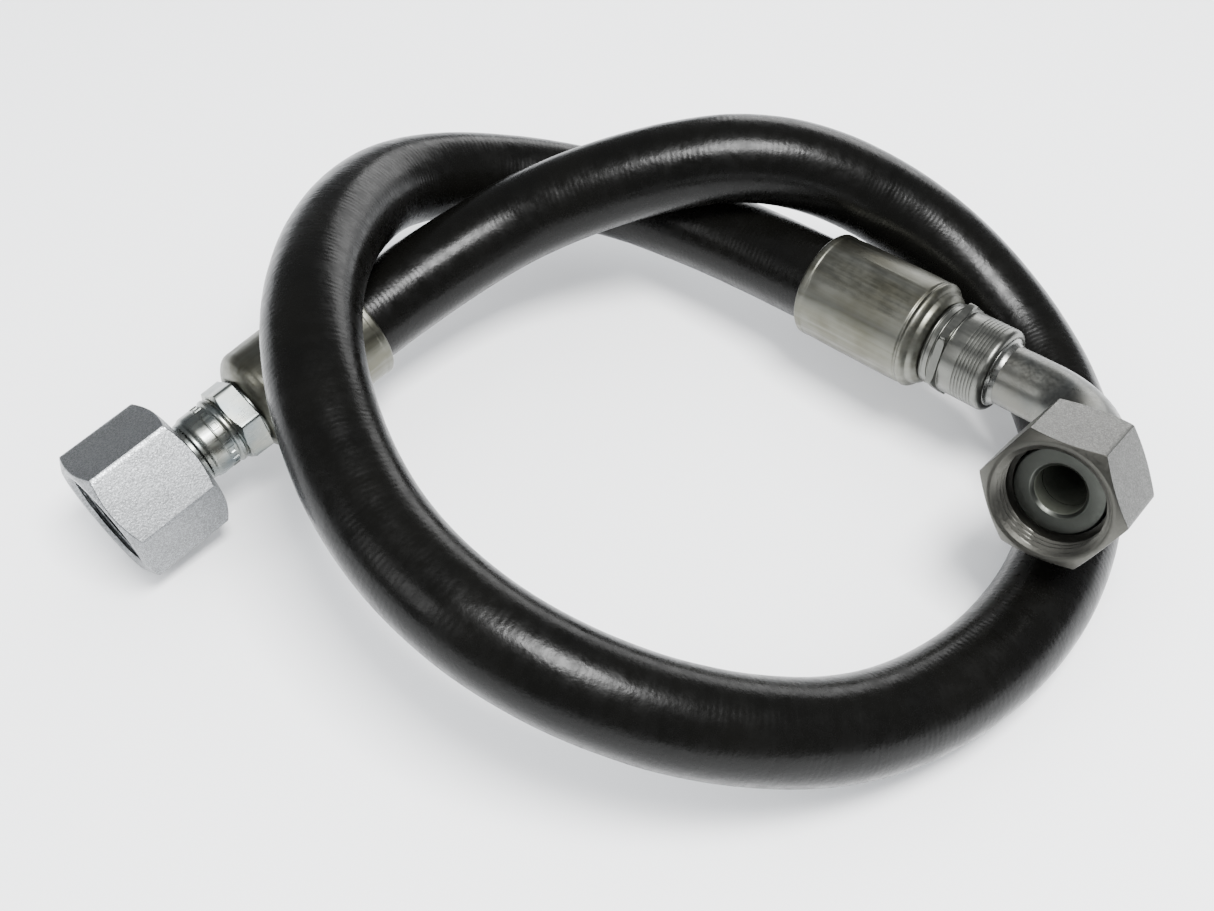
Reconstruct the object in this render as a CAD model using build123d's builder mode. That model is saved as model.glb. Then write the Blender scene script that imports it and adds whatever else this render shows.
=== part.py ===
from build123d import *
import math
import os

os.makedirs("parts", exist_ok=True)

# Hydraulic hose assembly: a 3/4 inch two-braid hose lying in a loose overhand loop,
# with a straight flat-face swivel fitting on one end and an elbow one on the other.
# Millimetres, +Z up, the surface it lies on is z = 0.

# ---------------------------------------------------------------- driving dimensions
hose_diameter = 30.0
hose_bore = 19.0
layer_gap = 0.03
inner_tube_wall = 1.9
braid_wall = 0.67
separator_wall = 0.37

ferrule_diameter = 36.6
ferrule_length = 42.0
ferrule_grip = 38.0  # how far the hose is pushed into the ferrule
fitting_bore = 15.0

thread_major = 33.0
thread_minor = 30.8
thread_mouth = 34.4
head_diameter = 28.0
head_clearance = 0.08  # radial, head in the nut's back bore
face_recess = 7.5  # sealing face behind the nut's mouth
head_length = 16.0
wire_diameter = 1.5
wire_from_mouth = 17.5
nut_float = 0.8  # axial play of the nut and its wire on the head

left_nut_flats = 41.0
left_nut_length = 31.0
left_fitting_length = 103.0  # ferrule's rear face to the nut's mouth
left_nut_turn = 20.0  # one flat looks up and forward

right_nut_flats = 38.0
right_nut_length = 26.0
right_nut_turn = 8.0
collar_diameter = 28.2
tube_diameter = 20.0
elbow_radius = 27.0
elbow_corner = 109.5  # ferrule's rear face to the elbow's corner
elbow_drop = 54.0  # elbow's corner to the nut's mouth
elbow_roll = 16.5  # how far the nut's axis climbs above the level
elbow_turn = 84.0  # degrees between the ferrule's axis and the nut's

# The hose's centreline, from inside the left ferrule to inside the right one.
hose_route = [
    (-87, 34, 34),
    (-50, 72, 40),
    (3, 87, 59),
    (59, 93, 66),
    (112, 82, 44),
    (148, 42, 22),
    (155, -14, 15),
    (128, -69, 15),
    (80, -105, 19),
    (26, -117, 40),
    (-26, -103, 56),
    (-66, -64, 62),
    (-87, -12, 77),
    (-88, 47, 70),
    (-70, 98, 52),
    (-17, 119, 32),
    (38, 94, 31),
    (81, 54, 36),
]
mouth_inset = 7.0  # the route's ends lie this far inside the ferrules


# ---------------------------------------------------------------- frames of the two ends
def end_frame(tip, neighbour):
    """Frame at a ferrule's rear face, +Z along the fitting, away from the hose."""
    outward = (Vector(*tip) - Vector(*neighbour)).normalized()
    level = outward.cross(Vector(0, 0, 1)).normalized()
    return Plane(origin=Vector(*tip) - outward * mouth_inset, x_dir=level, z_dir=outward)


left_frame = end_frame(hose_route[0], hose_route[1])
right_frame = end_frame(hose_route[-1], hose_route[-2])

# The elbow turns the right fitting's axis towards the loop's open side and slightly up.
right_level = right_frame.x_dir
right_up = right_level.cross(right_frame.z_dir)
roll = math.radians(elbow_roll)
swing = math.radians(elbow_turn)
across = right_level * math.cos(roll) + right_up * math.sin(roll)
mouth_axis = (across * math.sin(swing) + right_frame.z_dir * math.cos(swing)).normalized()
corner = right_frame.origin + right_frame.z_dir * elbow_corner
head_frame = Plane(
    origin=corner,
    x_dir=mouth_axis.cross(Vector(0, 0, 1)).normalized(),
    z_dir=mouth_axis,
)


def section_plane(frame):
    """Plane through the axis: sketch X is the radius, sketch Y the distance along it."""
    return Plane(
        origin=frame.origin,
        x_dir=frame.x_dir,
        z_dir=frame.x_dir.cross(frame.z_dir),
    )


def axis_of(frame):
    return Axis(frame.origin, frame.z_dir)


def raised(frame, distance, turn=0.0):
    """The frame moved along its axis and turned about it."""
    return Plane(
        origin=frame.origin + frame.z_dir * distance,
        x_dir=frame.x_dir.rotate(Axis((0, 0, 0), frame.z_dir), turn),
        z_dir=frame.z_dir,
    )


# ---------------------------------------------------------------- the hose
route = [Vector(*point) for point in hose_route]
runs = [b - a for a, b in zip(route, route[1:])]
turns = [math.radians(a.get_angle(b)) for a, b in zip(runs, runs[1:])]
bend_radii = [
    0.45 * min(a.length, b.length) / math.tan(turn / 2)
    for a, b, turn in zip(runs, runs[1:], turns)
]
print("hose bend radii, mm:", [round(radius) for radius in bend_radii])

hose_start = left_frame.origin + left_frame.z_dir * ferrule_grip
hose_end = right_frame.origin + right_frame.z_dir * ferrule_grip
with BuildLine() as hose_line:
    Line(hose_start, route[0])
    FilletPolyline(*route, radius=bend_radii)
    Line(route[-1], hose_end)
hose_path = hose_line.wire()
free_length = hose_path.length - 2 * ferrule_grip
print("hose between the ferrules, mm:", round(free_length, 1))

layer_walls = [
    ("hose_inner_tube", inner_tube_wall),
    ("hose_inner_wire_braid", braid_wall),
    ("hose_rubber_between_braids", separator_wall),
    ("hose_outer_wire_braid", braid_wall),
]
inner_radius = hose_bore / 2
layer_sizes = []
for layer, wall in layer_walls:
    layer_sizes.append((layer, inner_radius, inner_radius + wall))
    inner_radius += wall + layer_gap
layer_sizes.append(("hose_cover", inner_radius, hose_diameter / 2))

hose_section_plane = Plane(origin=hose_start, x_dir=left_frame.x_dir, z_dir=-left_frame.z_dir)
for layer, radius_in, radius_out in layer_sizes:
    with BuildPart() as hose_layer:
        with BuildSketch(hose_section_plane):
            Circle(radius_out)
            Circle(radius_in, mode=Mode.SUBTRACT)
        sweep(path=hose_path, transition=Transition.RIGHT)
    expected = math.pi * (radius_out**2 - radius_in**2) * hose_path.length
    print(layer, "volume ratio", round(hose_layer.part.volume / expected, 4))
    hose_layer.part.label = layer
    export_step(hose_layer.part, f"parts/{layer}.step")


# ---------------------------------------------------------------- crimp ferrules
ferrule_outer = ferrule_diameter / 2
hose_fit = hose_diameter / 2 + 0.05
lock_radius = 11.35
for side, frame in (("left", left_frame), ("right", right_frame)):
    with BuildPart() as ferrule:
        with BuildSketch(section_plane(frame)):
            with BuildLine():
                Polyline(
                    (hose_fit + 0.9, 0.0),
                    (ferrule_outer - 0.5, 0.0),
                    (ferrule_outer + 0.1, 0.6),
                    (ferrule_outer + 0.1, 2.2),
                    (ferrule_outer - 0.2, 3.0),
                    (ferrule_outer, 6.0),
                    (ferrule_outer, ferrule_length - 2.0),
                    (ferrule_outer - 0.4, ferrule_length - 1.2),
                    (ferrule_outer + 0.1, ferrule_length - 0.6),
                    (ferrule_outer - 0.5, ferrule_length + 0.9),
                    (ferrule_outer - 1.7, ferrule_length + 2.4),
                    (ferrule_outer - 3.2, ferrule_length + 3.9),
                    (ferrule_outer - 4.4, ferrule_length + 5.0),
                    (lock_radius, ferrule_length + 5.0),
                    (lock_radius, ferrule_length + 1.0),
                    (hose_fit, ferrule_length - 1.5),
                    (hose_fit, 1.2),
                    close=True,
                )
            make_face()
        revolve(axis=axis_of(frame))
    ferrule.part.label = f"{side}_ferrule"
    export_step(ferrule.part, f"parts/{side}_ferrule.step")


# ---------------------------------------------------------------- inserts
bore_radius = fitting_bore / 2
tail_root = 8.7
barb_tip = hose_bore / 2 - 0.03
barb_pitch = 6.0
barb_count = 5
tail_start = 3.0
head_radius = head_diameter / 2


def tail_outline():
    """Barbed hose tail, from its tip inside the hose to the ferrule's locking groove."""
    points = [(bore_radius, tail_start), (tail_root, tail_start)]
    for barb in range(barb_count):
        base = tail_start + barb * barb_pitch
        points.append((tail_root, base + 0.8))
        points.append((barb_tip, base + barb_pitch - 0.8))
        points.append((barb_tip, base + barb_pitch - 0.2))
        points.append((tail_root, base + barb_pitch - 0.2))
    points.append((tail_root, ferrule_grip + 0.6))
    points.append((12.2, ferrule_grip + 0.6))
    points.append((12.2, ferrule_length + 0.2))
    points.append((lock_radius - 0.05, ferrule_length + 1.2))
    points.append((lock_radius - 0.05, ferrule_length + 5.4))
    return points


left_face = left_fitting_length - face_recess
left_head_back = left_face - head_length
left_stem_outline = [
    (11.0, 47.4),
    (10.6, 55.6),
    (11.2, 56.3),
    (11.6, 57.0),
    (11.6, 58.1),
    (11.0, 58.8),
    (10.8, 59.2),
    (10.8, 61.6),
    (11.1, 61.9),
    (11.1, 66.2),
    (10.5, 67.8),
    (10.5, 68.6),
    (9.9, 69.4),
    (9.9, 71.0),
    (9.4, 71.8),
    (9.4, left_head_back - 3.0),
    (head_radius - 1.2, left_head_back),
    (head_radius, left_head_back + 1.0),
    (head_radius, left_face - 0.6),
    (head_radius - 0.6, left_face),
    (bore_radius + 0.7, left_face),
    (bore_radius, left_face - 0.7),
]
stem_hex_flats = 24.0
stem_hex_turn = 36.0
stem_hex_start = 47.9
stem_hex_length = 7.6
mark_count = 12
mark_height = 0.35
wire_radius = wire_diameter / 2
wire_line = head_radius + 0.04


# The groove for the retaining wire in each head is wider than the wire by the nut's play.
groove_size = (wire_diameter + 0.1, wire_diameter + nut_float + 0.1)

left_wire_at = left_fitting_length - wire_from_mouth
with BuildPart() as left_insert:
    with BuildSketch(section_plane(left_frame)):
        with BuildLine():
            Polyline(*tail_outline(), *left_stem_outline, close=True)
        make_face()
    revolve(axis=axis_of(left_frame))
    with BuildSketch(raised(left_frame, stem_hex_start, stem_hex_turn)):
        RegularPolygon(stem_hex_flats / 2, 6, major_radius=False)
        Circle(lock_radius - 1.0, mode=Mode.SUBTRACT)
    extrude(amount=stem_hex_length)
    with BuildSketch(section_plane(left_frame)):
        with BuildLine():
            Polyline(
                (13.0, stem_hex_start + stem_hex_length - 1.0),
                (11.2, stem_hex_start + stem_hex_length + 0.1),
                (15.0, stem_hex_start + stem_hex_length + 0.1),
                (15.0, stem_hex_start + stem_hex_length - 1.0),
                close=True,
            )
        make_face()
    revolve(axis=axis_of(left_frame), mode=Mode.SUBTRACT)
    with BuildSketch(raised(left_frame, 60.4)):
        with PolarLocations(10.9, mark_count):
            Rectangle(2 * mark_height, 3.6)
    extrude(amount=0.9, both=True)
    with BuildSketch(section_plane(left_frame)):
        with Locations((wire_line, left_wire_at)):
            Rectangle(*groove_size)
    revolve(axis=axis_of(left_frame), mode=Mode.SUBTRACT)
left_insert.part.label = "left_insert"
export_step(left_insert.part, "parts/left_insert.step")

collar_radius = collar_diameter / 2
collar_start = 54.2
collar_end = 70.0
thin_hex_flats = 28.6
thin_hex_start = 51.6
socket_start = 61.0
groove_depth = 0.25
groove_pitch = 1.2
groove_count = 6
tube_fit = tube_diameter / 2 + 0.03
right_ring_outline = [
    (14.0, 47.4),
    (13.4, 47.8),
    (13.4, 48.2),
    (13.9, 48.5),
    (13.9, 49.3),
    (13.4, 49.6),
    (13.4, 50.0),
    (14.0, 50.3),
    (14.0, 51.2),
    (13.5, 51.6),
    (collar_radius, 52.1),
    (collar_radius, collar_start + 4.2),
]
collar_outline = []
for groove in range(groove_count):
    groove_at = collar_start + 4.6 + groove * groove_pitch
    collar_outline.append((collar_radius, groove_at))
    collar_outline.append((collar_radius - groove_depth, groove_at + 0.2))
    collar_outline.append((collar_radius - groove_depth, groove_at + 0.4))
    collar_outline.append((collar_radius, groove_at + 0.6))
collar_outline += [
    (collar_radius, collar_end - 1.2),
    (collar_radius - 0.6, collar_end - 0.3),
    (collar_radius - 1.6, collar_end),
    (tube_fit + 1.6, collar_end),
    (tube_fit, collar_end - 1.6),
    (tube_fit, socket_start),
    (bore_radius, socket_start),
]
with BuildPart() as right_insert:
    with BuildSketch(section_plane(right_frame)):
        with BuildLine():
            Polyline(*tail_outline(), *right_ring_outline, *collar_outline, close=True)
        make_face()
    revolve(axis=axis_of(right_frame))
    with BuildSketch(raised(right_frame, thin_hex_start, 10.0)):
        RegularPolygon(thin_hex_flats / 2, 6, major_radius=False)
        Circle(collar_radius - 2.0, mode=Mode.SUBTRACT)
    extrude(amount=collar_start - thin_hex_start)
    with BuildSketch(raised(right_frame, 49.4)):
        with PolarLocations(13.8, 4, start_angle=25.0):
            Rectangle(0.9, 1.6)
    extrude(amount=1.6, both=True)
right_insert.part.label = "right_insert"
export_step(right_insert.part, "parts/right_insert.step")

with BuildPart() as collar_braze:
    with BuildSketch(section_plane(right_frame)):
        with BuildLine():
            Polyline(
                (tube_fit, collar_end - 1.5),
                (tube_fit + 1.5, collar_end + 0.05),
                (tube_fit + 0.9, collar_end + 0.5),
                (tube_fit, collar_end + 1.9),
                close=True,
            )
        make_face()
    revolve(axis=axis_of(right_frame))
collar_braze.part.label = "right_collar_braze"
export_step(collar_braze.part, "parts/right_collar_braze.step")


# ---------------------------------------------------------------- elbow tube and its head
head_face = elbow_drop - face_recess
head_back = head_face - head_length
head_socket_depth = 9.0
elbow_start = right_frame.origin + right_frame.z_dir * (socket_start + 0.1)
elbow_end = corner + mouth_axis * (head_back + head_socket_depth - 0.1)
with BuildLine() as elbow_line:
    FilletPolyline(elbow_start, corner, elbow_end, radius=elbow_radius)
with BuildPart() as elbow_tube:
    with BuildSketch(raised(right_frame, socket_start + 0.1)):
        Circle(tube_diameter / 2)
        Circle(bore_radius, mode=Mode.SUBTRACT)
    sweep(path=elbow_line.wire())
elbow_tube.part.label = "right_elbow_tube"
export_step(elbow_tube.part, "parts/right_elbow_tube.step")

right_wire_at = elbow_drop - wire_from_mouth
with BuildPart() as nipple_head:
    with BuildSketch(section_plane(head_frame)):
        with BuildLine():
            Polyline(
                (tube_fit, head_back + 0.8),
                (tube_fit + 0.8, head_back),
                (head_radius - 1.4, head_back),
                (head_radius, head_back + 1.4),
                (head_radius, head_face - 0.6),
                (head_radius - 0.6, head_face),
                (bore_radius + 0.7, head_face),
                (bore_radius, head_face - 0.7),
                (bore_radius, head_back + head_socket_depth),
                (tube_fit, head_back + head_socket_depth),
                close=True,
            )
        make_face()
    revolve(axis=axis_of(head_frame))
    with BuildSketch(section_plane(head_frame)):
        with Locations((wire_line, right_wire_at)):
            Rectangle(*groove_size)
    revolve(axis=axis_of(head_frame), mode=Mode.SUBTRACT)
nipple_head.part.label = "right_nipple_head"
export_step(nipple_head.part, "parts/right_nipple_head.step")

with BuildPart() as head_braze:
    with BuildSketch(section_plane(head_frame)):
        with BuildLine():
            Polyline(
                (tube_fit, head_back + 0.7),
                (tube_fit, head_back - 0.9),
                (tube_fit + 0.7, head_back),
                close=True,
            )
        make_face()
    revolve(axis=axis_of(head_frame))
head_braze.part.label = "right_head_braze"
export_step(head_braze.part, "parts/right_head_braze.step")


# ---------------------------------------------------------------- swivel nuts and wires
corner_chamfer = 30.0  # degrees, on the hexagon's corners at both ends
thread_length = 7.2
relief_length = 5.8


def build_nut(side, frame, mouth_at, flats, length, turn, wire_at):
    """Swivel nut: the thread's plain core in front, the head's bore behind it."""
    back_at = mouth_at - length
    corner_radius = flats / 2 / math.cos(math.radians(30)) + 0.5
    chamfer_rise = (corner_radius - flats * 0.485) * math.tan(math.radians(corner_chamfer))
    back_bore = head_radius + head_clearance
    with BuildPart() as nut:
        with BuildSketch(raised(frame, back_at, turn)):
            RegularPolygon(flats / 2, 6, major_radius=False)
        extrude(amount=length)
        with BuildSketch(section_plane(frame)):
            with BuildLine():
                Polyline(
                    (0.0, back_at),
                    (flats * 0.485, back_at),
                    (corner_radius, back_at + chamfer_rise),
                    (corner_radius, mouth_at - chamfer_rise),
                    (flats * 0.485, mouth_at),
                    (0.0, mouth_at),
                    close=True,
                )
            make_face()
        revolve(axis=axis_of(frame), mode=Mode.INTERSECT)
        with BuildSketch(section_plane(frame)):
            with BuildLine():
                Polyline(
                    (0.0, back_at - 1.0),
                    (back_bore + 0.6, back_at - 1.0),
                    (back_bore + 0.6, back_at),
                    (back_bore, back_at + 0.6),
                    (back_bore, mouth_at - thread_length - relief_length),
                    (thread_major / 2 + 0.2, mouth_at - thread_length - relief_length),
                    (thread_major / 2 + 0.2, mouth_at - thread_length - 0.8),
                    (thread_minor / 2, mouth_at - thread_length),
                    (thread_minor / 2, mouth_at - 1.6),
                    (thread_mouth / 2, mouth_at),
                    (thread_mouth / 2, mouth_at + 1.0),
                    (0.0, mouth_at + 1.0),
                    close=True,
                )
            make_face()
        revolve(axis=axis_of(frame), mode=Mode.SUBTRACT)
        with BuildSketch(section_plane(frame)):
            with Locations((wire_line, wire_at)):
                Circle(wire_radius + 0.06)
        revolve(axis=axis_of(frame), mode=Mode.SUBTRACT)
    nut.part.label = f"{side}_nut"
    export_step(nut.part, f"parts/{side}_nut.step")


def build_wire(side, frame, wire_at):
    """Open ring of round wire that ties the nut to the head."""
    with BuildPart() as wire:
        with BuildSketch(section_plane(frame)):
            with Locations((wire_line, wire_at)):
                Circle(wire_radius)
        revolve(axis=axis_of(frame), revolution_arc=345)
    wire.part.label = f"{side}_nut_wire"
    export_step(wire.part, f"parts/{side}_nut_wire.step")


build_nut(
    "left",
    left_frame,
    left_fitting_length,
    left_nut_flats,
    left_nut_length,
    left_nut_turn,
    left_wire_at,
)
build_nut(
    "right",
    head_frame,
    elbow_drop,
    right_nut_flats,
    right_nut_length,
    right_nut_turn,
    right_wire_at,
)
build_wire("left", left_frame, left_wire_at)
build_wire("right", head_frame, right_wire_at)
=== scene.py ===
import math

import bmesh
import bpy
from mathutils import Matrix, Vector, noise


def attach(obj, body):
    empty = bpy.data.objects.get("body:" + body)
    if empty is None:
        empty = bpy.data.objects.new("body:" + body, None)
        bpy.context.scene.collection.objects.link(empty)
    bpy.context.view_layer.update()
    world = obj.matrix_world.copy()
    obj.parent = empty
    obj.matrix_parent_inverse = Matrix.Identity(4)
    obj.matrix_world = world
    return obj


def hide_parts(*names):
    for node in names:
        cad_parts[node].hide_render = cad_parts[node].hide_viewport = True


# Hydraulic hose assembly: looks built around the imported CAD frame. World units are metres.
# The fittings' profiles are written in millimetres: (radius, height along the fitting's axis),
# with height 0 at the ferrule's rear face, or at the elbow's corner for the right nut and head.

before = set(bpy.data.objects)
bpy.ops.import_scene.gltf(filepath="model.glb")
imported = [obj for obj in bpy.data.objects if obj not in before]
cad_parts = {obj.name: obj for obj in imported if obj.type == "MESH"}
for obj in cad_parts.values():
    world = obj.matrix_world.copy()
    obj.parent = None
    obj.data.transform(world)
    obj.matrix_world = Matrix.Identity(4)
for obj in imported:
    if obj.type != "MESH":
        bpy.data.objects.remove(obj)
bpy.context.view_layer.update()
scene = bpy.context.scene
MM = 0.001

# ---------------------------------------------------------------- camera
camera_data = bpy.data.cameras.new("camera")
camera_data.sensor_width = 36.0
camera_data.lens = 42.46
camera_data.clip_start = 0.01
camera = bpy.data.objects.new("camera", camera_data)
camera.location = (0.001, -0.302, 0.3735)
camera.rotation_euler = (math.radians(40.0), 0.0, 0.0)
scene.collection.objects.link(camera)
scene.camera = camera

# ---------------------------------------------------------------- dimensions shared with the CAD
HOSE_RADIUS = 0.015
MOUTH_INSET = 0.007
HOSE_ROUTE = [
    (-0.087, 0.034, 0.034),
    (-0.050, 0.072, 0.040),
    (0.003, 0.087, 0.059),
    (0.059, 0.093, 0.066),
    (0.112, 0.082, 0.044),
    (0.148, 0.042, 0.022),
    (0.155, -0.014, 0.015),
    (0.128, -0.069, 0.015),
    (0.080, -0.105, 0.019),
    (0.026, -0.117, 0.040),
    (-0.026, -0.103, 0.056),
    (-0.066, -0.064, 0.062),
    (-0.087, -0.012, 0.077),
    (-0.088, 0.047, 0.070),
    (-0.070, 0.098, 0.052),
    (-0.017, 0.119, 0.032),
    (0.038, 0.094, 0.031),
    (0.081, 0.054, 0.036),
]
FERRULE_R = 18.3
FERRULE_LENGTH = 42.0
FERRULE_GRIP = 38.0
BORE_R = 7.5
LEFT_FITTING = 103.0
LEFT_NUT_FLATS = 41.0
LEFT_NUT_LENGTH = 31.0
LEFT_NUT_TURN = 20.0
STEM_HEX_TURN = 36.0
RIGHT_NUT_FLATS = 38.0
RIGHT_NUT_LENGTH = 26.0
RIGHT_NUT_TURN = 8.0
HEAD_R = 14.0
HEAD_LENGTH = 16.0
FACE_RECESS = 7.5
WIRE_FROM_MOUTH = 17.5
TUBE_R = 10.0
COLLAR_R = 14.1
COLLAR_START = 54.2
COLLAR_END = 70.0
ELBOW_RADIUS = 27.0
ELBOW_CORNER = 109.5
ELBOW_DROP = 54.0
ELBOW_ROLL = 16.5
ELBOW_TURN = 84.0
THREAD_MAJOR_R = 16.5
THREAD_MINOR_R = 15.4
THREAD_MOUTH_R = 17.2
THREAD_PITCH = 2.0
THREAD_LENGTH = 7.2
RELIEF_LENGTH = 1.6  # shallower than the CAD's, so that the gap round the head isn't a black ring
HEAD_PLAY = 0.08  # gap between a head and its nut's bore
TAIL_R = 8.7  # insert tail, between its barbs
TAIL_START = 3.0
SOCKET_START = 61.0  # where the elbow tube ends inside the right insert
HEAD_SOCKET = 9.0  # how deep the head's socket for the tube is


def fitting_frame(tip, neighbour):
    """Matrix of a ferrule's rear face: Z runs outward along the fitting, away from the hose."""
    axis = (Vector(tip) - Vector(neighbour)).normalized()
    return axis_frame(Vector(tip) - axis * MOUTH_INSET, axis)


def axis_frame(origin, axis):
    """Matrix with Z along the axis and X level."""
    side = axis.cross(Vector((0, 0, 1))).normalized()
    turned = Matrix((side, axis.cross(side), axis)).transposed().to_4x4()
    return Matrix.Translation(origin) @ turned


left = fitting_frame(HOSE_ROUTE[0], HOSE_ROUTE[1])
right = fitting_frame(HOSE_ROUTE[-1], HOSE_ROUTE[-2])
right_axis = right.col[2].xyz
right_side = right.col[0].xyz
right_up = -right.col[1].xyz
elbow_roll = math.radians(ELBOW_ROLL)
across_axis = right_side * math.cos(elbow_roll) + right_up * math.sin(elbow_roll)
elbow_swing = math.radians(ELBOW_TURN)
mouth_axis = across_axis * math.sin(elbow_swing) + right_axis * math.cos(elbow_swing)
corner = right.translation + right_axis * ELBOW_CORNER * MM
head = axis_frame(corner, mouth_axis)

# ---------------------------------------------------------------- the hose
hose_curve = bpy.data.curves.new("hose_line", "CURVE")
hose_curve.dimensions = "3D"
hose_curve.resolution_u = 40
spline = hose_curve.splines.new("NURBS")
spline.points.add(len(HOSE_ROUTE) - 1)
for point, place in zip(spline.points, HOSE_ROUTE):
    point.co = (*place, 1.0)
spline.order_u = 3
spline.use_endpoint_u = True
hose_guide = bpy.data.objects.new("hose_guide", hose_curve)
scene.collection.objects.link(hose_guide)
bpy.context.view_layer.update()
line_mesh = bpy.data.meshes.new_from_object(hose_guide)
line = [vertex.co.copy() for vertex in line_mesh.vertices]
bpy.data.objects.remove(hose_guide)


def resampled(points, step):
    """Points at an even spacing along a polyline, with their distances from its start."""
    marks = [0.0]
    for a, b in zip(points, points[1:]):
        marks.append(marks[-1] + (b - a).length)
    count = int(marks[-1] / step)
    out = []
    at = 0
    for k in range(count + 1):
        goal = marks[-1] * k / count
        while at < len(points) - 2 and marks[at + 1] < goal:
            at += 1
        share = (goal - marks[at]) / (marks[at + 1] - marks[at])
        out.append((points[at].lerp(points[at + 1], share), goal))
    return out


def carried_frames(points, start_side):
    """Two cross directions at every point, carried along the line without twisting."""
    side = start_side
    last = len(points) - 1
    out = []
    for k in range(len(points)):
        tangent = (points[min(k + 1, last)] - points[max(k - 1, 0)]).normalized()
        side = (side - tangent * side.dot(tangent)).normalized()
        out.append((side, tangent.cross(side)))
    return out


def grid_faces(bm, rows, uvs=None, close_rows=False):
    """Quads between closed rings of vertices; uvs[row][column] goes to the UV layer."""
    layer = bm.loops.layers.uv.verify() if uvs else None
    row_count = len(rows)
    columns = len(rows[0])
    for i in range(row_count if close_rows else row_count - 1):
        j = (i + 1) % row_count
        for k in range(columns):
            n = (k + 1) % columns
            quad = (rows[i][k], rows[i][n], rows[j][n], rows[j][k])
            if len(set(quad)) < 4:
                continue
            face = bm.faces.new(quad)
            face.smooth = True
            if layer:
                spots = (uvs[i][k], uvs[i][k + 1], uvs[i + 1][k + 1], uvs[i + 1][k])
                for loop, spot in zip(face.loops, spots):
                    loop[layer].uv = spot


def mesh_object(name, bm, material, place=None, sharp_angle=35.0):
    """Finishes a bmesh: outward normals, sharp edges kept sharp, one material."""
    bmesh.ops.remove_doubles(bm, verts=bm.verts, dist=1e-7)
    bmesh.ops.recalc_face_normals(bm, faces=bm.faces)
    limit = math.radians(sharp_angle)
    for edge in bm.edges:
        if len(edge.link_faces) == 2 and edge.calc_face_angle(0.0) > limit:
            edge.smooth = False
    mesh = bpy.data.meshes.new(name)
    bm.to_mesh(mesh)
    bm.free()
    mesh.materials.append(material)
    obj = bpy.data.objects.new(name, mesh)
    if place is not None:
        obj.matrix_world = place
    scene.collection.objects.link(obj)
    return obj


# ---------------------------------------------------------------- materials
class Nodes:
    """Short way to write a node tree."""

    def __init__(self, name):
        self.material = bpy.data.materials.new(name)
        self.material.use_nodes = True
        self.tree = self.material.node_tree
        self.tree.nodes.clear()
        self.shader = self.add("ShaderNodeBsdfPrincipled")
        output = self.add("ShaderNodeOutputMaterial")
        self.link(self.shader.outputs[0], output.inputs[0])

    def add(self, kind, **settings):
        node = self.tree.nodes.new(kind)
        for key, value in settings.items():
            setattr(node, key, value)
        return node

    def link(self, source, target):
        self.tree.links.new(source, target)

    def place(self, kind, scale=(1.0, 1.0, 1.0)):
        """Texture coordinates of a kind, scaled."""
        coordinates = self.add("ShaderNodeTexCoord")
        mapping = self.add("ShaderNodeMapping")
        mapping.inputs["Scale"].default_value = scale
        self.link(coordinates.outputs[kind], mapping.inputs["Vector"])
        return mapping.outputs[0]

    def noise(self, vector, scale, detail=3.0, roughness=0.5):
        node = self.add("ShaderNodeTexNoise")
        node.inputs["Scale"].default_value = scale
        node.inputs["Detail"].default_value = detail
        node.inputs["Roughness"].default_value = roughness
        self.link(vector, node.inputs["Vector"])
        return node.outputs["Fac"]

    def spread(self, value, low, high, to_low, to_high):
        """The value's range low..high stretched to to_low..to_high, and held there."""
        node = self.add("ShaderNodeMapRange")
        for key, number in zip((1, 2, 3, 4), (low, high, to_low, to_high)):
            node.inputs[key].default_value = number
        self.link(value, node.inputs[0])
        return node.outputs[0]

    def math(self, operation, a, b):
        node = self.add("ShaderNodeMath", operation=operation)
        for socket, value in zip(node.inputs, (a, b)):
            if isinstance(value, float):
                socket.default_value = value
            else:
                self.link(value, socket)
        return node.outputs[0]

    def tint(self, value, colour_a, colour_b):
        node = self.add("ShaderNodeMix", data_type="RGBA")
        node.inputs[6].default_value = (*colour_a, 1.0)
        node.inputs[7].default_value = (*colour_b, 1.0)
        self.link(value, node.inputs[0])
        return node.outputs[2]

    def bump(self, height, strength, distance, after=None):
        node = self.add("ShaderNodeBump")
        node.inputs["Strength"].default_value = strength
        node.inputs["Distance"].default_value = distance
        self.link(height, node.inputs["Height"])
        if after is not None:
            self.link(after, node.inputs["Normal"])
        return node.outputs[0]

    def to(self, socket, source):
        self.link(source, self.shader.inputs[socket])


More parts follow.
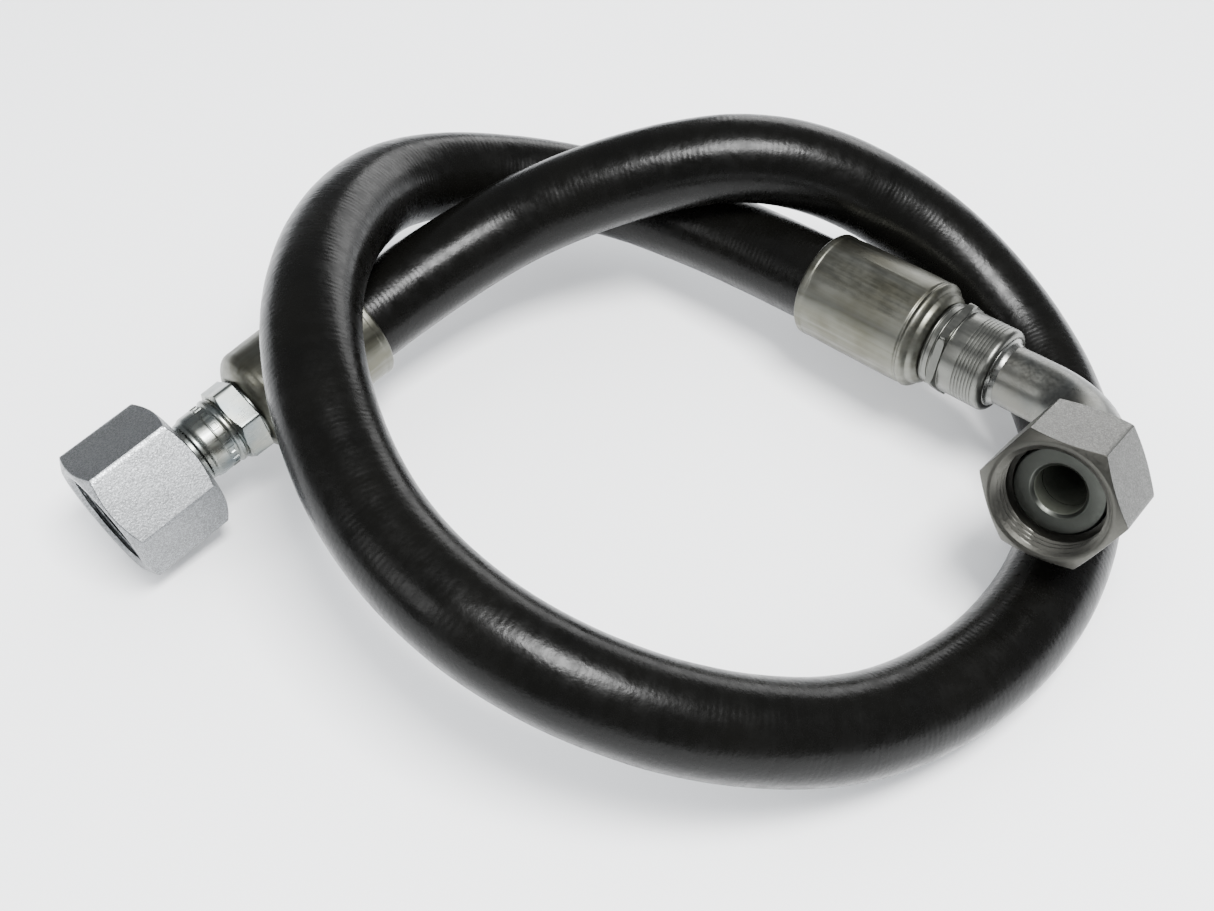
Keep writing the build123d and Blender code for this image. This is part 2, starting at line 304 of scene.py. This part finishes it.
def rubber_cover():
    """Satin black rubber with the fine cross ribs left by its curing wrap."""
    m = Nodes("cover_rubber")
    m.shader.inputs["Specular IOR Level"].default_value = 0.15
    m.shader.inputs["IOR"].default_value = 1.5
    along = m.place("UV")
    body = m.place("Object")
    broad = m.noise(body, 45.0, 2.0)
    streak = m.noise(m.place("UV", (160.0, 40.0, 1.0)), 1.0, 4.0, 0.6)
    m.to("Base Color", m.tint(broad, (0.0012, 0.0012, 0.0011), (0.0030, 0.0029, 0.0024)))
    worn = m.noise(body, 260.0, 5.0, 0.65)
    rough = m.spread(worn, 0.3, 0.7, 0.20, 0.34)
    m.to("Roughness", m.math("ADD", rough, m.spread(streak, 0.3, 0.7, -0.05, 0.05)))
    ribs = m.add("ShaderNodeTexWave", wave_type="BANDS", bands_direction="X", wave_profile="SIN")
    ribs.inputs["Scale"].default_value = 180.0
    ribs.inputs["Distortion"].default_value = 1.6
    ribs.inputs["Detail"].default_value = 2.0
    ribs.inputs["Detail Scale"].default_value = 1.2
    m.link(along, ribs.inputs["Vector"])
    patches = m.spread(m.noise(body, 70.0, 3.0), 0.42, 0.62, 0.15, 1.0)
    rib_height = m.math("MULTIPLY", ribs.outputs["Fac"], patches)
    first = m.bump(rib_height, 0.16, 0.00012)
    second = m.bump(m.noise(body, 620.0, 2.0, 0.6), 0.42, 0.00013, first)
    third = m.bump(m.noise(body, 180.0, 3.0), 0.22, 0.0005, second)
    m.to("Normal", third)
    return m.material


def zinc(name, tone_a, tone_b, rough, turned=0.0, grain=0.06, mottle=60.0, streaks=0.0):
    """Zinc-plated steel: cloudy tone and uneven gloss, with turned lines or long streaks."""
    m = Nodes(name)
    m.shader.inputs["Metallic"].default_value = 1.0
    body = m.place("Object")
    clouds = m.noise(body, mottle, 3.0, 0.55)
    share = m.spread(clouds, 0.3, 0.7, 0.0, 1.0)
    if streaks:
        lengthways = m.noise(m.place("Object", (420.0, 420.0, 14.0)), 1.0, 2.0, 0.5)
        share = m.math("ADD", share, m.spread(lengthways, 0.35, 0.65, -streaks, streaks))
    m.to("Base Color", m.tint(share, tone_a, tone_b))
    patches = m.noise(body, mottle * 3.0, 4.0, 0.6)
    scratches = m.noise(m.place("Object", (900.0, 900.0, 60.0)), 1.0, 3.0, 0.6)
    low, high = rough
    gloss = m.math(
        "ADD",
        m.spread(patches, 0.3, 0.7, low, high),
        m.spread(scratches, 0.35, 0.65, -0.04, 0.06),
    )
    m.to("Roughness", gloss)
    first = m.bump(m.noise(body, 900.0, 1.0, 0.5), grain, 0.00006)
    second = m.bump(m.noise(body, 110.0, 1.0), 0.05, 0.0004, first)
    if turned:
        lines = m.noise(m.place("Object", (30.0, 30.0, 3200.0)), 1.0, 2.0, 0.5)
        second = m.bump(lines, turned, 0.00006, second)
    m.to("Normal", second)
    return m.material


def blasted_zinc(name, tone_a, tone_b, grain, machined=None):
    """Matte zinc with a fine sparkling grain; the machined tone is for the mouth's face."""
    m = Nodes(name)
    m.shader.inputs["Metallic"].default_value = 1.0
    body = m.place("Object")
    cells = m.add("ShaderNodeTexVoronoi")
    cells.inputs["Scale"].default_value = 3000.0
    m.link(body, cells.inputs["Vector"])
    grains = m.noise(cells.outputs["Color"], 3.1, 1.0)
    clouds = m.noise(body, 120.0, 3.0)
    speck = m.spread(grains, 0.38, 0.66, 0.0, 0.85)
    speck = m.math("ADD", speck, m.spread(clouds, 0.3, 0.7, 0.0, 0.15))
    tone = m.tint(speck, tone_a, tone_b)
    if machined:
        facing = m.add("ShaderNodeSeparateXYZ")
        m.link(m.place("Normal"), facing.inputs[0])
        mouth = m.add("ShaderNodeMix", data_type="RGBA")
        mouth.inputs[7].default_value = (*machined, 1.0)
        m.link(m.spread(facing.outputs[2], 0.25, 0.6, 0.0, 1.0), mouth.inputs[0])
        m.link(tone, mouth.inputs[6])
        tone = mouth.outputs[2]
    m.to("Base Color", tone)
    m.to("Roughness", m.spread(grains, 0.38, 0.66, 0.46, 0.30))
    first = m.bump(m.noise(body, 1500.0, 1.0, 0.5), grain, 0.00008)
    second = m.bump(m.noise(body, 90.0, 2.0), 0.06, 0.0006, first)
    m.to("Normal", second)
    return m.material


def painted_bore_shade():
    """Painted shade on a bore's wall: rough, near-black, faintly greenish and barely metallic."""
    m = Nodes("bore_painted_shade")
    m.shader.inputs["Metallic"].default_value = 0.15
    body = m.place("Object")
    clouds = m.noise(body, 260.0, 3.0)
    m.to("Base Color", m.tint(clouds, (0.034, 0.037, 0.029), (0.060, 0.064, 0.051)))
    m.to("Roughness", m.spread(m.noise(body, 500.0, 2.0), 0.3, 0.7, 0.45, 0.62))
    m.to("Normal", m.bump(m.noise(body, 420.0, 2.0), 0.12, 0.0002))
    return m.material


cover = rubber_cover()
ferrule_zinc = zinc(
    "ferrule_zinc", (0.105, 0.103, 0.080), (0.160, 0.162, 0.142), (0.32, 0.44), 0.08, streaks=0.3
)
bright_zinc = zinc(
    "bright_zinc",
    (0.17, 0.20, 0.212),
    (0.27, 0.27, 0.235),
    (0.24, 0.33),
    0.05,
    grain=0.03,
    mottle=90.0,
)
turned_zinc = zinc("turned_zinc", (0.115, 0.117, 0.107), (0.175, 0.178, 0.163), (0.28, 0.38), 0.22)
tube_zinc = zinc(
    "tube_zinc", (0.090, 0.096, 0.096), (0.145, 0.141, 0.121), (0.28, 0.38), mottle=45.0
)
head_zinc = zinc(
    "head_zinc", (0.058, 0.062, 0.055), (0.084, 0.088, 0.079), (0.34, 0.42), grain=0.0
)
left_nut_zinc = blasted_zinc("left_nut_zinc", (0.13, 0.134, 0.137), (0.30, 0.312, 0.322), 0.5)
right_nut_zinc = blasted_zinc(
    "right_nut_zinc",
    (0.080, 0.080, 0.075),
    (0.120, 0.120, 0.112),
    0.2,
    machined=(0.085, 0.084, 0.075),
)
wire_steel = zinc("wire_steel", (0.30, 0.30, 0.30), (0.42, 0.42, 0.41), (0.25, 0.4))
braze = zinc("braze", (0.20, 0.205, 0.195), (0.30, 0.30, 0.28), (0.22, 0.32), grain=0.03)
# The bores' walls are coloured near-black: painted shade inside the holes.
bore_painted_shade = painted_bore_shade()

# ---------------------------------------------------------------- hose mesh
HOSE_STEP = 0.0015
HOSE_COLUMNS = 64
HOSE_WOBBLE = 0.00010
stations = resampled(line, HOSE_STEP)
centres = [place for place, _ in stations]
hose_bm = bmesh.new()
hose_rows = []
hose_uvs = []
for (centre, distance), (side, across) in zip(
    stations, carried_frames(centres, left.col[0].xyz)
):
    ring = []
    for k in range(HOSE_COLUMNS):
        angle = 2 * math.pi * k / HOSE_COLUMNS
        out = side * math.cos(angle) + across * math.sin(angle)
        wobble = HOSE_WOBBLE * noise.noise((centre + out * HOSE_RADIUS) * 60.0)
        ring.append(hose_bm.verts.new(centre + out * (HOSE_RADIUS - 0.00006 + wobble)))
    hose_rows.append(ring)
    hose_uvs.append(
        [
            (distance, 2 * math.pi * HOSE_RADIUS * k / HOSE_COLUMNS)
            for k in range(HOSE_COLUMNS + 1)
        ]
    )
grid_faces(hose_bm, hose_rows, hose_uvs)
for ring in (hose_rows[0], hose_rows[-1]):
    hose_bm.faces.new(ring)
hose = mesh_object("hose", hose_bm, cover)
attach(hose, "hose")
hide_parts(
    "hose_cover",
    "hose_inner_tube",
    "hose_rubber_between_braids",
    "hose_inner_wire_braid",
    "hose_outer_wire_braid",
)


# ---------------------------------------------------------------- turned and hexagonal pieces
def rounded(points, radius, steps=3):
    """The polyline with its corners eased by short curves."""
    out = [points[0]]
    for before, here, after in zip(points, points[1:], points[2:]):
        a = Vector(before)
        b = Vector(here)
        c = Vector(after)
        ease = min(radius, (b - a).length * 0.45, (c - b).length * 0.45)
        start = b + (a - b).normalized() * ease
        end = b + (c - b).normalized() * ease
        for k in range(steps + 1):
            t = k / steps
            out.append(tuple(start * (1 - t) ** 2 + b * 2 * t * (1 - t) + end * t * t))
    out.append(points[-1])
    return out


def hexagon_radius(angle, flats, turn, corner_round=0.5):
    """Distance from the axis to a hexagon's side; its corners are slightly rounded."""
    local = (angle - math.radians(turn)) % (math.pi / 3) - math.pi / 6
    plain = flats / 2 / math.cos(local)
    centre = (flats / 2 - corner_round) / math.cos(math.pi / 6)
    off = math.pi / 6 - abs(local)
    reach = corner_round**2 - (centre * math.sin(off)) ** 2
    if reach <= 0:
        return plain
    return min(plain, centre * math.cos(off) + math.sqrt(reach))


def turned_piece(name, profile, material, place, columns=144):
    """Closed profile of (radius, height) turned about the axis; a radius may be a function."""
    bm = bmesh.new()
    rows = []
    for radius, height in profile:
        ring = []
        for k in range(columns):
            angle = 2 * math.pi * k / columns
            reach = radius(angle) if callable(radius) else radius
            spot = (reach * math.cos(angle) * MM, reach * math.sin(angle) * MM, height * MM)
            ring.append(bm.verts.new(spot))
        rows.append(ring)
    grid_faces(bm, rows, close_rows=True)
    return mesh_object(name, bm, material, place)


def hex_band(flats, turn, start, length, chamfer_from, rise, steps=8, both=False):
    """Profile rows of a hexagon with coned corners at its far end, or at both ends."""
    rows = []
    end = start + length
    heights = [start + rise * k / steps for k in range(steps + 1)] if both else [start]
    heights += [end - rise * (1 - k / steps) for k in range(steps + 1)]
    slope = math.tan(math.radians(60.0))
    for height in heights:
        limit = chamfer_from + (end - height) * slope
        if both:
            limit = min(limit, chamfer_from + (height - start) * slope)
        rows.append(
            (
                lambda angle, limit=limit: min(hexagon_radius(angle, flats, turn), limit),
                height,
            )
        )
    return rows


def barbed_tail():
    """Tail inside the hose, up to the ferrule's locking groove."""
    barb_r = TAIL_R + 0.77
    points = [(BORE_R, TAIL_START), (TAIL_R, TAIL_START)]
    for barb in range(5):
        base = TAIL_START + barb * 6.0
        points += [
            (TAIL_R, base + 0.8),
            (barb_r, base + 5.2),
            (barb_r, base + 5.8),
            (TAIL_R, base + 5.8),
        ]
    return points + [
        (TAIL_R, FERRULE_GRIP + 0.6),
        (12.2, FERRULE_GRIP + 0.6),
        (12.2, FERRULE_LENGTH + 0.2),
        (11.3, FERRULE_LENGTH + 1.2),
        (11.3, FERRULE_LENGTH + 5.4),
    ]


def wire_groove(at):
    """Square groove round a head; wider than the retaining wire by the nut's play."""
    floor_r = HEAD_R - 0.75
    return [(HEAD_R, at - 1.2), (floor_r, at - 1.2), (floor_r, at + 1.2), (HEAD_R, at + 1.2)]


DIE_COUNT = 8


def crimped(radius, depth):
    """Radius of a crimped sleeve: the dies leave flats, with faint ridges between them."""

    def reach(angle):
        local = (angle * DIE_COUNT / (2 * math.pi)) % 1.0
        gap = min(local, 1.0 - local) * 2 * math.pi * radius / DIE_COUNT
        ridge = math.exp(-((gap / 0.55) ** 2))
        flat = (0.5 - abs(local - 0.5)) * 2
        return radius - depth * 0.45 * flat + depth * ridge * 0.8

    return reach


def build_ferrule(side, place):
    """Crimped sleeve with a rolled lip; the left one's nose is a dome, the right one's stepped."""
    R = FERRULE_R
    L = FERRULE_LENGTH
    lip = rounded(
        [
            (15.3, 0.9),
            (15.95, 0.0),
            (R - 0.7, 0.0),
            (R + 0.08, 0.8),
            (R + 0.08, 2.6),
            (R - 0.12, 3.1),
            (R - 0.10, 4.2),
        ],
        0.35,
    )
    rows = 8
    body = [
        (crimped(R - 0.08, 0.0 if k in (0, rows) else 0.16), 4.4 + 34.6 * k / rows)
        for k in range(rows + 1)
    ]
    if side == "left":
        nose = [
            (R - 0.08, L - 2.6),
            (R - 0.02, L - 1.2),
            (R - 0.25, L + 0.2),
            (R - 1.0, L + 1.6),
            (R - 2.3, L + 2.9),
            (R - 3.7, L + 3.9),
            (R - 5.0, L + 4.6),
        ]
    else:
        nose = [
            (R - 0.08, L - 2.6),
            (R - 0.08, L - 2.0),
            (R - 0.50, L - 1.5),
            (R - 0.45, L - 1.0),
            (R + 0.08, L - 0.5),
            (R + 0.02, L + 0.3),
            (R - 0.75, L + 1.3),
            (R - 1.9, L + 2.0),
            (R - 2.15, L + 2.6),
            (R - 2.6, L + 3.6),
            (R - 4.4, L + 4.9),
        ]
    front = rounded(nose + [(11.35, L + 5.0), (11.35, L + 1.0)], 0.5)
    inside = [(15.05, L - 1.5), (15.05, 1.3)]
    profile = lip + body + front + inside
    ferrule = turned_piece(f"{side}_ferrule_shell", profile, ferrule_zinc, place, 192)
    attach(ferrule, "hose")
    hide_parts(f"{side}_ferrule")


build_ferrule("left", left)
build_ferrule("right", right)

# ---------------------------------------------------------------- left insert
left_face = LEFT_FITTING - FACE_RECESS
left_head_back = left_face - HEAD_LENGTH
left_groove_at = LEFT_FITTING - WIRE_FROM_MOUTH
MARK_COUNT = 14
MARK_RING_R = 10.9


def marks(rise, sunk=False):
    """Radius of a ring of plain raised rectangles; a sunk row crosses their hollow middles."""

    def reach(angle):
        local = (angle * MARK_COUNT / (2 * math.pi)) % 1.0
        if not 0.22 < local < 0.78:
            return MARK_RING_R
        if 0.34 < local < 0.66 and sunk:
            return MARK_RING_R + rise * 0.2
        return MARK_RING_R + rise

    return reach


left_stem = (
    [(11.0, 47.5)]
    + hex_band(24.0, STEM_HEX_TURN, 47.9, 7.7, 11.9, 0.95)
    + rounded(
        [
            (11.4, 55.62),
            (10.6, 55.65),
            (10.6, 56.1),
            (11.3, 56.3),
            (11.65, 57.0),
            (11.65, 57.9),
            (11.1, 58.5),
            (10.85, 58.7),
            (10.85, 59.0),
        ],
        0.25,
    )
    + [
        (marks(0.0), 59.1),
        (marks(0.33), 59.25),
        (marks(0.35), 59.6),
        (marks(0.35, sunk=True), 59.75),
        (marks(0.35, sunk=True), 61.05),
        (marks(0.35), 61.2),
        (marks(0.33), 61.55),
        (marks(0.0), 61.7),
    ]
    + rounded(
        [
            (10.85, 61.8),
            (10.85, 62.0),
            (11.15, 62.3),
            (11.15, 66.0),
            (10.95, 66.7),
            (10.45, 67.6),
            (10.45, 68.6),
            (9.95, 69.2),
            (9.95, 70.8),
            (9.4, 71.6),
            (9.4, left_head_back - 3.0),
            (HEAD_R - 1.2, left_head_back),
            (HEAD_R, left_head_back + 1.0),
            *wire_groove(left_groove_at),
            (HEAD_R, left_face - 0.6),
            (HEAD_R - 0.6, left_face),
            (BORE_R + 0.7, left_face),
            (BORE_R, left_face - 0.7),
            (BORE_R, left_face - 3.0),
        ],
        0.3,
    )
)
left_insert = turned_piece("left_insert_body", barbed_tail() + left_stem, bright_zinc, left, 336)
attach(left_insert, "hose")
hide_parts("left_insert")

# ---------------------------------------------------------------- right insert
GROOVE_COUNT = 7
GROOVE_PITCH = 1.15


RING_R = 13.75
THIN_HEX_START = 51.6


def right_marks(angle):
    """Three small plain raised marks on the ring behind the thin hexagon."""
    if any(abs(angle - centre) < 0.035 for centre in (0.6, 3.30, 4.05)):
        return RING_R + 0.5
    return RING_R


collar_lines = []
for groove in range(GROOVE_COUNT):
    at = COLLAR_START + 5.4 + groove * GROOVE_PITCH
    collar_lines += [
        (COLLAR_R, at),
        (COLLAR_R - 0.16, at + 0.22),
        (COLLAR_R - 0.16, at + 0.38),
        (COLLAR_R, at + 0.6),
    ]
right_body = (
    rounded([(13.9, 47.5), (13.4, 47.8), (13.4, 48.2), (13.9, 48.5), (RING_R, 48.7)], 0.15)
    + [(right_marks, 48.9), (right_marks, 49.9), (RING_R, 50.0)]
    + rounded(
        [
            (RING_R, 50.1),
            (13.4, 50.3),
            (13.4, 50.6),
            (13.9, 50.9),
            (13.9, 51.4),
            (13.5, 51.55),
        ],
        0.15,
    )
    + hex_band(
        28.9, 10.0, THIN_HEX_START, COLLAR_START - THIN_HEX_START, 15.7, 0.45, steps=4, both=True
    )
    + rounded(
        [
            (14.6, COLLAR_START + 0.02),
            (COLLAR_R - 0.1, COLLAR_START + 0.2),
            (COLLAR_R, COLLAR_START + 0.9),
        ],
        0.2,
    )
    + [(COLLAR_R, COLLAR_START + 5.0)]
    + collar_lines
    + rounded(
        [
            (COLLAR_R, COLLAR_END - 2.4),
            (COLLAR_R, COLLAR_END - 1.5),
            (COLLAR_R - 0.5, COLLAR_END - 0.5),
            (COLLAR_R - 1.6, COLLAR_END),
            (TUBE_R + 1.7, COLLAR_END),
            (TUBE_R + 0.05, COLLAR_END - 1.6),
            (TUBE_R + 0.03, SOCKET_START),
            (BORE_R, SOCKET_START),
            (BORE_R, 50.0),
        ],
        0.5,
    )
)
right_profile = barbed_tail() + right_body
right_insert = turned_piece("right_insert_body", right_profile, turned_zinc, right, 240)
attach(right_insert, "hose")
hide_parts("right_insert")

collar_fillet = turned_piece(
    "right_collar_fillet",
    rounded(
        [
            (TUBE_R + 0.03, COLLAR_END - 1.5),
            (TUBE_R + 1.9, COLLAR_END - 0.3),
            (TUBE_R + 1.75, COLLAR_END + 0.15),
            (TUBE_R + 0.7, COLLAR_END + 0.7),
            (TUBE_R + 0.15, COLLAR_END + 2.0),
            (TUBE_R + 0.02, COLLAR_END + 2.3),
        ],
        0.5,
    ),
    braze,
    right,
)
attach(collar_fillet, "hose")
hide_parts("right_collar_braze")

# ---------------------------------------------------------------- elbow tube
def paint_bore_shade(piece, centres):
    """Give the faces round a bore, those close to its centre line, the bore's painted-shade
    material.
    """
    piece.data.materials.append(bore_painted_shade)
    for face in piece.data.polygons:
        away = min((face.center - centre).length for centre in centres)
        if away < (BORE_R + 0.35) * MM:
            face.material_index = 1


BEND_STEPS = 32
head_face = ELBOW_DROP - FACE_RECESS
head_back = head_face - HEAD_LENGTH
tube_start = right.translation + right_axis * (SOCKET_START + 0.1) * MM
tube_end = corner + mouth_axis * (head_back + HEAD_SOCKET - 0.1) * MM
bend_reach = ELBOW_RADIUS * MM * math.tan(elbow_swing / 2)
bend_start = corner - right_axis * bend_reach
bend_centre = bend_start + across_axis * ELBOW_RADIUS * MM
tube_line = [tube_start.lerp(bend_start, k / 8) for k in range(8)]
for k in range(BEND_STEPS + 1):
    turn = elbow_swing * k / BEND_STEPS
    tube_line.append(
        bend_centre
        - across_axis * ELBOW_RADIUS * MM * math.cos(turn)
        + right_axis * ELBOW_RADIUS * MM * math.sin(turn)
    )
tube_line += [tube_line[-1].lerp(tube_end, k / 6) for k in range(1, 7)]
tube_bm = bmesh.new()
tube_rows = []
TUBE_COLUMNS = 96
directions = carried_frames(tube_line, right_side)
for radius, order in ((TUBE_R, 1), (BORE_R, -1)):
    for centre, (side, across) in list(zip(tube_line, directions))[::order]:
        ring = []
        for k in range(TUBE_COLUMNS):
            angle = 2 * math.pi * k / TUBE_COLUMNS
            out = side * math.cos(angle) + across * math.sin(angle)
            ring.append(tube_bm.verts.new(centre + out * radius * MM))
        tube_rows.append(ring)
grid_faces(tube_bm, tube_rows, close_rows=True)
tube = mesh_object("right_elbow_pipe", tube_bm, tube_zinc)
# Painted shade on the tube's bore wall.
paint_bore_shade(tube, tube_line)
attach(tube, "hose")
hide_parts("right_elbow_tube")

# ---------------------------------------------------------------- nipple head of the elbow
groove_at = ELBOW_DROP - WIRE_FROM_MOUTH
head_profile = rounded(
    [
        (TUBE_R + 0.03, head_back + 0.8),
        (TUBE_R + 0.8, head_back),
        (HEAD_R - 1.4, head_back),
        (HEAD_R, head_back + 1.4),
        *wire_groove(groove_at),
        (HEAD_R, head_face - 0.7),
        (HEAD_R - 0.7, head_face),
        (BORE_R + 1.1, head_face),
        (BORE_R, head_face - 1.1),
        (BORE_R, head_back + HEAD_SOCKET),
        (TUBE_R + 0.03, head_back + HEAD_SOCKET),
        (TUBE_R + 0.03, head_back + 4.0),
    ],
    0.25,
)
nipple = turned_piece("right_nipple_head_body", head_profile, head_zinc, head)
nipple_axis = [Vector((0.0, 0.0, k * 0.5 * MM)) for k in range(120)]
# Painted shade on the head's bore wall.
paint_bore_shade(nipple, nipple_axis)
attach(nipple, "hose")
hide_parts("right_nipple_head")


# ---------------------------------------------------------------- swivel nuts
def thread_radius(angle, depth):
    """Internal thread: distance from the axis to its surface, depth measured from the mouth."""
    phase = (depth / THREAD_PITCH + angle / (2 * math.pi)) % 1.0
    rise = abs(phase * 2 - 1)
    share = min(max((rise - 0.12) / 0.74, 0.0), 1.0)
    return THREAD_MINOR_R + (THREAD_MAJOR_R - THREAD_MINOR_R) * share


NUT_COLUMNS = 192
THREAD_ROWS = 60
COUNTERSINK = 1.5
CORNER_CONE = math.tan(math.radians(30.0))
WIRE_GROOVE_R = 0.83
WIRE_GROOVE_ROWS = 8


def build_nut(side, place, mouth, flats, length, turn, material, body):
    """Swivel nut with coned corners, a helical thread, a relief and the bore with its groove."""
    back = mouth - length
    face_r = flats * 0.485
    relief_end = mouth - THREAD_LENGTH - RELIEF_LENGTH
    bore_r = HEAD_R + HEAD_PLAY
    bm = bmesh.new()
    columns = []
    angles = [2 * math.pi * k / NUT_COLUMNS for k in range(NUT_COLUMNS)]
    for angle in angles:
        side_r = hexagon_radius(angle, flats, turn, 0.45)
        fall = (side_r - face_r) * CORNER_CONE
        column = [(14.9, back), (face_r - 0.2, back), (face_r + 0.1, back + 0.06)]
        corner_fall = max(fall - 0.10, 0.04)
        column += [(side_r - 0.12, back + corner_fall), (side_r, back + fall + 0.12)]
        column += [(side_r, back + length * share) for share in (0.3, 0.5, 0.7)]
        column += [(side_r, mouth - fall - 0.12), (side_r - 0.12, mouth - corner_fall)]
        column += [(face_r + 0.1, mouth - 0.06), (face_r - 0.2, mouth)]
        column.append((THREAD_MOUTH_R + 0.15, mouth))
        for k in range(THREAD_ROWS + 1):
            depth = 0.1 + (THREAD_LENGTH - 0.1) * k / THREAD_ROWS
            sink = THREAD_MOUTH_R - (THREAD_MOUTH_R - THREAD_MINOR_R) * depth / COUNTERSINK
            column.append((max(thread_radius(angle, depth), sink), mouth - depth))
        column += [
            (THREAD_MAJOR_R + 0.2, mouth - THREAD_LENGTH - 0.5),
            (THREAD_MAJOR_R + 0.2, relief_end),
            (bore_r, relief_end - 0.02),
        ]
        for k in range(WIRE_GROOVE_ROWS + 1):
            swing = math.pi * (0.5 - k / WIRE_GROOVE_ROWS)
            reach = HEAD_R + HEAD_PLAY / 2 + WIRE_GROOVE_R * math.cos(swing)
            height = mouth - WIRE_FROM_MOUTH + WIRE_GROOVE_R * math.sin(swing)
            column.append((max(reach, bore_r), height))
        column.append((bore_r, back + 0.6))
        columns.append(column)
    rows = []
    for level in range(len(columns[0])):
        ring = []
        for angle, column in zip(angles, columns):
            radius, height = column[level]
            spot = (radius * math.cos(angle) * MM, radius * math.sin(angle) * MM, height * MM)
            ring.append(bm.verts.new(spot))
        rows.append(ring)
    grid_faces(bm, rows, close_rows=True)
    nut = mesh_object(f"{side}_swivel_nut", bm, material, place, 24.0)
    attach(nut, body)
    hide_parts(f"{side}_nut")


build_nut(
    "left",
    left,
    LEFT_FITTING,
    LEFT_NUT_FLATS,
    LEFT_NUT_LENGTH,
    LEFT_NUT_TURN,
    left_nut_zinc,
    "left_swivel",
)
build_nut(
    "right",
    head,
    ELBOW_DROP,
    RIGHT_NUT_FLATS,
    RIGHT_NUT_LENGTH,
    RIGHT_NUT_TURN,
    right_nut_zinc,
    "right_swivel",
)

# ---------------------------------------------------------------- CAD nodes kept, with materials
kept_nodes = {
    "left_nut_wire": wire_steel,
    "right_nut_wire": wire_steel,
    "right_head_braze": braze,
}
for node_name, node_material in kept_nodes.items():
    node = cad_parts[node_name]
    node.data.materials.clear()
    node.data.materials.append(node_material)

# ---------------------------------------------------------------- floor and light
floor_bm = bmesh.new()
FLOOR_HALF = 3.0
floor_corners = [
    floor_bm.verts.new((x * FLOOR_HALF, y * FLOOR_HALF, 0.0))
    for x, y in ((-1, -1), (1, -1), (1, 1), (-1, 1))
]
floor_bm.faces.new(floor_corners)
floor_look = Nodes("floor")
floor_tone = floor_look.noise(floor_look.place("Object"), 2.0, 2.0)
floor_look.to("Base Color", floor_look.tint(floor_tone, (0.90, 0.90, 0.90), (0.92, 0.92, 0.92)))
floor_look.shader.inputs["Roughness"].default_value = 0.85
floor = mesh_object("floor", floor_bm, floor_look.material)

world = bpy.data.worlds.new("studio")
world.use_nodes = True
sky = world.node_tree
background = sky.nodes["Background"]
background.inputs["Color"].default_value = (0.93, 0.96, 1.0, 1.0)
# The room gives soft light all round, but is dim in reflections, as behind dark cards.
light_path = sky.nodes.new("ShaderNodeLightPath")
dimmer = sky.nodes.new("ShaderNodeMapRange")
dimmer.inputs["To Min"].default_value = 2.1
dimmer.inputs["To Max"].default_value = 0.30
sky.links.new(light_path.outputs["Is Glossy Ray"], dimmer.inputs["Value"])
sky.links.new(dimmer.outputs[0], background.inputs["Strength"])
scene.world = world


def soft_light(name, place, target, size, power):
    """Rectangular area light, aimed at the target."""
    data = bpy.data.lights.new(name, "AREA")
    data.shape = "RECTANGLE"
    data.size, data.size_y = size
    data.energy = power
    light = bpy.data.objects.new(name, data)
    light.location = place
    aim = Vector(target) - Vector(place)
    light.rotation_euler = aim.to_track_quat("-Z", "Y").to_euler()
    scene.collection.objects.link(light)


soft_light("key", (0.18, -0.22, 0.95), (0.0, 0.0, 0.03), (0.40, 0.30), 24.0)
soft_light("back", (0.45, 1.1, 0.32), (0.0, 0.0, 0.03), (0.8, 0.45), 6.0)
soft_light("side", (-0.9, -0.5, 0.7), (0.0, 0.0, 0.05), (0.3, 0.6), 3.0)

bpy.context.view_layer.update()
